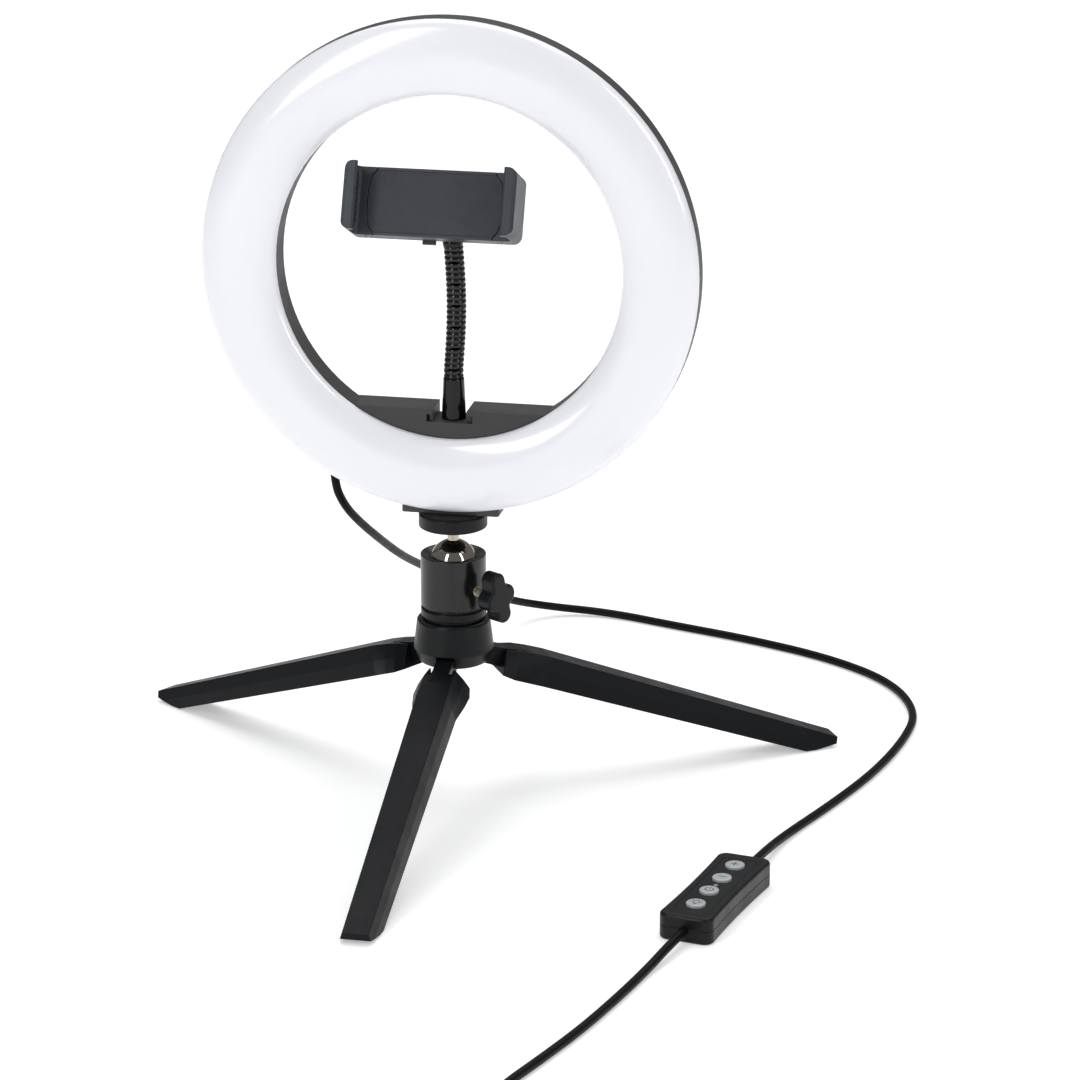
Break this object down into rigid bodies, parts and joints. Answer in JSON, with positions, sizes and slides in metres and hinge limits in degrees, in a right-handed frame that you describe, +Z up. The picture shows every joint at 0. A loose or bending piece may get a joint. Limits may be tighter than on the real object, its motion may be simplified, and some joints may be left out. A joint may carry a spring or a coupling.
{
  "type": "ring light",
  "caption": "Small desktop ring light with a milky round diffuser on a folding mini tripod, with a ball head, a phone clip on a short gooseneck inside the ring and an in-line remote on its USB lead.",
  "frame": {"origin": "on the floor, under the vertical axis of the tripod's hub", "axes": "+Z up, +Y away from the lit face, which looks along -Y, +X to the right seen from in front"},
  "size_m": [0.3232, 0.5944, 0.321],
  "materials": {
    "satin_black": "satin moulded",
    "rubber": "matte rubber",
    "steel": "bright plated",
    "brass": "turned",
    "nylon": "natural nylon",
    "housing_grey": "fine matte texture",
    "diffuser_white": "milky, smooth",
    "circuit_board": "white solder mask",
    "led_yellow": "phosphor and clear resin",
    "gloss_black": "glossy moulded",
    "hose_black": "ribbed, satin",
    "clip_grey": "satin moulded",
    "remote_black": "fine matte texture",
    "button_silver": "silver paint",
    "cord_black": "smooth soft jacket"
  },
  "bodies": {
    "stand": {"hub": "satin_black", "leg_pins": "steel", "base_flange": "satin_black", "center_bolt": "steel", "cup": "satin_black", "ball_seat": "nylon", "remote_base": "remote_black", "remote_cover": "remote_black", "remote_panel": "remote_black", "remote_circuit": "circuit_board", "remote_indicator": "led_yellow", "cord_head_lead": "cord_black", "cord_usb_lead": "cord_black", "cord_tail": "cord_black", "cord_coil": "cord_black", "coil_tie": "cord_black", "usb_overmould": "cord_black", "usb_shell": "steel"},
    "leg_front_body": {"leg_front": "satin_black", "foot_pad_front": "rubber"},
    "leg_right_body": {"leg_right": "satin_black", "foot_pad_right": "rubber"},
    "leg_left_body": {"leg_left": "satin_black", "foot_pad_left": "rubber"},
    "knob": {"clamp_screw": "steel", "wing_knob": "satin_black"},
    "ball_body": {"ball": "steel"},
    "stud_body": {"ball_stud": "steel"},
    "head": {"platform_disc": "satin_black", "platform_pad": "rubber", "rear_housing": "housing_grey", "shelf_cover": "housing_grey", "diffuser": "diffuser_white", "led_board": "circuit_board", "leds": "led_yellow", "threaded_insert": "brass", "housing_screws": "steel", "cord_gland": "rubber", "ferrule": "gloss_black"},
    "neck_1": {"gooseneck_link_1": "hose_black"},
    "neck_2": {"gooseneck_link_2": "hose_black"},
    "neck_3": {"gooseneck_link_3": "hose_black"},
    "neck_4": {"gooseneck_link_4": "hose_black"},
    "neck_5": {"gooseneck_link_5": "hose_black"},
    "neck_6": {"gooseneck_link_6": "hose_black"},
    "clip_swivel_body": {"clip_ball": "gloss_black"},
    "clip": {"clip_tray": "clip_grey", "clip_panel": "clip_grey", "jaw_left": "clip_grey", "jaw_pad_left": "rubber", "clip_bracket": "clip_grey", "clip_spring": "steel"},
    "jaw": {"jaw_right": "clip_grey", "jaw_pad_right": "rubber", "guide_rods": "steel"},
    "button_plus_body": {"button_plus": "button_silver"},
    "button_minus_body": {"button_minus": "button_silver"},
    "button_power_body": {"button_power": "button_silver"},
    "button_mode_body": {"button_mode": "button_silver"}
  },
  "joints": [
    {"name": "leg_front_fold", "type": "hinge", "parent": "stand", "child": "leg_front_body", "pos_m": [-0.00021, -0.0122, 0.0583], "axis": [0.9998, -0.0175, 0], "range_deg": [0, 68]},
    {"name": "leg_right_fold", "type": "hinge", "parent": "stand", "child": "leg_right_body", "pos_m": [0.01057, 0.0061, 0.0583], "axis": [-0.5, 0.866, 0], "range_deg": [0, 68]},
    {"name": "leg_left_fold", "type": "hinge", "parent": "stand", "child": "leg_left_body", "pos_m": [-0.01057, 0.0061, 0.0583], "axis": [-0.5, -0.866, 0], "range_deg": [0, 68]},
    {"name": "knob_turn", "type": "hinge", "parent": "stand", "child": "knob", "pos_m": [0, 0, 0.0885], "axis": [0.848, -0.5299, 0], "range_deg": [0, 270]},
    {"name": "head_tilt", "type": "hinge", "parent": "stand", "child": "ball_body", "pos_m": [0, 0, 0.0982], "axis": [1, 0, 0], "range_deg": [-32, 32], "deforming": ["cord_head_lead"]},
    {"name": "head_roll", "type": "hinge", "parent": "ball_body", "child": "stud_body", "pos_m": [0, 0, 0.0982], "axis": [0, 1, 0], "range_deg": [-28, 28]},
    {"name": "head_pan", "type": "hinge", "parent": "stud_body", "child": "head", "pos_m": [0, 0, 0.0982], "axis": [0, 0, 1], "range_deg": [-90, 90]},
    {"name": "neck_bend", "type": "hinge", "parent": "head", "child": "neck_1", "pos_m": [0.0003, 0.0015, 0.1786], "axis": [1, 0, 0], "range_deg": [-11, 11]},
    {"name": "neck_sway", "type": "hinge", "parent": "neck_1", "child": "neck_2", "pos_m": [0.00088, 0.0015, 0.1874], "axis": [0, 1, 0], "range_deg": [-7, 7]},
    {"name": "neck_bend_2", "type": "hinge", "parent": "neck_2", "child": "neck_3", "pos_m": [0.00131, 0.0015, 0.1962], "axis": [1, 0, 0], "range_deg": [-11, 11]},
    {"name": "neck_sway_2", "type": "hinge", "parent": "neck_3", "child": "neck_4", "pos_m": [0.00145, 0.0015, 0.205], "axis": [0, 1, 0], "range_deg": [-7, 7]},
    {"name": "neck_bend_3", "type": "hinge", "parent": "neck_4", "child": "neck_5", "pos_m": [0.00127, 0.0015, 0.2138], "axis": [1, 0, 0], "range_deg": [-11, 11]},
    {"name": "neck_sway_3", "type": "hinge", "parent": "neck_5", "child": "neck_6", "pos_m": [0.00082, 0.0015, 0.2226], "axis": [0, 1, 0], "range_deg": [-7, 7]},
    {"name": "clip_swivel", "type": "hinge", "parent": "neck_6", "child": "clip_swivel_body", "pos_m": [0.0002, 0.0015, 0.243], "axis": [0, 0, 1], "range_deg": [-170, 170]},
    {"name": "clip_tilt", "type": "hinge", "parent": "clip_swivel_body", "child": "clip", "pos_m": [0.0002, 0.0015, 0.243], "axis": [1, 0, 0], "range_deg": [-30, 18]},
    {"name": "jaw_slide", "type": "slide", "parent": "clip", "child": "jaw", "axis": [1, 0, 0], "range_m": [0, 0.024], "stiffness_N_per_m": 60, "springref_m": -0.02, "deforming": ["clip_spring"]},
    {"name": "press_plus", "type": "slide", "parent": "stand", "child": "button_plus_body", "axis": [0, 0, -1], "range_m": [0, 0.0006], "stiffness_N_per_m": 600, "springref_m": -0.0004},
    {"name": "press_minus", "type": "slide", "parent": "stand", "child": "button_minus_body", "axis": [0, 0, -1], "range_m": [0, 0.0006], "stiffness_N_per_m": 600, "springref_m": -0.0004},
    {"name": "press_power", "type": "slide", "parent": "stand", "child": "button_power_body", "axis": [0, 0, -1], "range_m": [0, 0.0006], "stiffness_N_per_m": 600, "springref_m": -0.0004},
    {"name": "press_mode", "type": "slide", "parent": "stand", "child": "button_mode_body", "axis": [0, 0, -1], "range_m": [0, 0.0006], "stiffness_N_per_m": 600, "springref_m": -0.0004}
  ],
  "couplings": [
    {"joint": "neck_bend_2", "follows": "neck_bend", "ratio": 1},
    {"joint": "neck_bend_3", "follows": "neck_bend", "ratio": 1},
    {"joint": "neck_sway_2", "follows": "neck_sway", "ratio": 1},
    {"joint": "neck_sway_3", "follows": "neck_sway", "ratio": 1}
  ]
}
